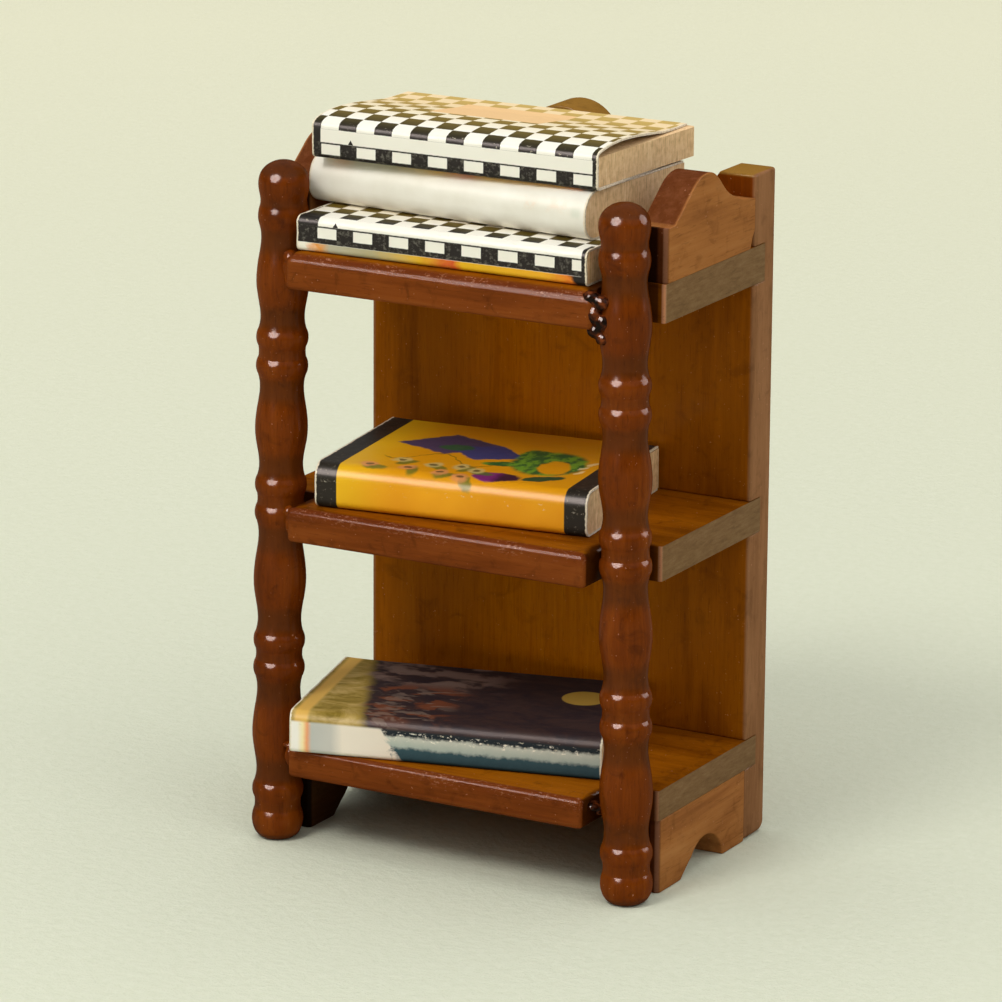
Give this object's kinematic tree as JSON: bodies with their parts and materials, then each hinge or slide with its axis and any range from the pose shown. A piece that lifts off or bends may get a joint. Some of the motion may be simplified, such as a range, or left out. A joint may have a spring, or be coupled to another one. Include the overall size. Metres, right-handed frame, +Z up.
{
  "type": "miniature bookcase",
  "caption": "Doll's house bookcase with turned front posts, a crested back panel, open shelves, shaped gallery and foot brackets, and loose miniature books.",
  "frame": {"origin": "floor level, under the middle of the whole object's width and depth", "axes": "+Z up; +X to the right as seen from the front; the front, with the posts, faces -Y"},
  "size_m": [0.0452, 0.031, 0.0745],
  "materials": {
    "panel_wood": "amber-brown stain under satin lacquer",
    "shelf_wood": "red-brown stain under lacquer, greyer on the end grain",
    "turned_wood": "dark red-brown stain under gloss lacquer",
    "bracket_wood": "red-brown stain under satin lacquer",
    "book_board": "raw, finely ridged sawn edges",
    "chequer_paper": "satin print, black and white chequer",
    "cream_paper": "satin, plain cream",
    "orange_paper": "glossy orange print with dark end bands",
    "dark_paper": "glossy dark print, worn at the folds"
  },
  "bodies": {
    "bookcase": {"back_panel": "panel_wood", "top_shelf": "shelf_wood", "middle_shelf": "shelf_wood", "bottom_shelf": "shelf_wood", "left_post": "turned_wood", "right_post": "turned_wood", "left_gallery_bracket": "bracket_wood", "right_gallery_bracket": "bracket_wood", "left_foot_bracket": "bracket_wood", "right_foot_bracket": "bracket_wood"},
    "arched_book": {"arched_book_jacket": "chequer_paper", "arched_book_block": "book_board"},
    "cream_book": {"cream_book_jacket": "cream_paper", "cream_book_block": "book_board"},
    "chequered_book": {"chequered_book_jacket": "chequer_paper", "chequered_book_block": "book_board"},
    "orange_book": {"orange_book_jacket": "orange_paper", "orange_book_block": "book_board"},
    "dark_book": {"dark_book_jacket": "dark_paper", "dark_book_block": "book_board"}
  },
  "joints": [
    {"name": "chequered_book_lift", "type": "slide", "parent": "bookcase", "child": "chequered_book", "axis": [0, 0, 1], "range_m": [0, 0.012]},
    {"name": "cream_book_lift", "type": "slide", "parent": "chequered_book", "child": "cream_book", "axis": [0, 0, 1], "range_m": [0, 0.012]},
    {"name": "arched_book_lift", "type": "slide", "parent": "cream_book", "child": "arched_book", "axis": [0, 0, 1], "range_m": [0, 0.012]},
    {"name": "orange_book_draw", "type": "slide", "parent": "bookcase", "child": "orange_book", "axis": [0.1219, -0.9925, 0], "range_m": [0, 0.02]},
    {"name": "dark_book_draw", "type": "slide", "parent": "bookcase", "child": "dark_book", "axis": [0.2351, -0.972, 0], "range_m": [0, 0.02]}
  ]
}
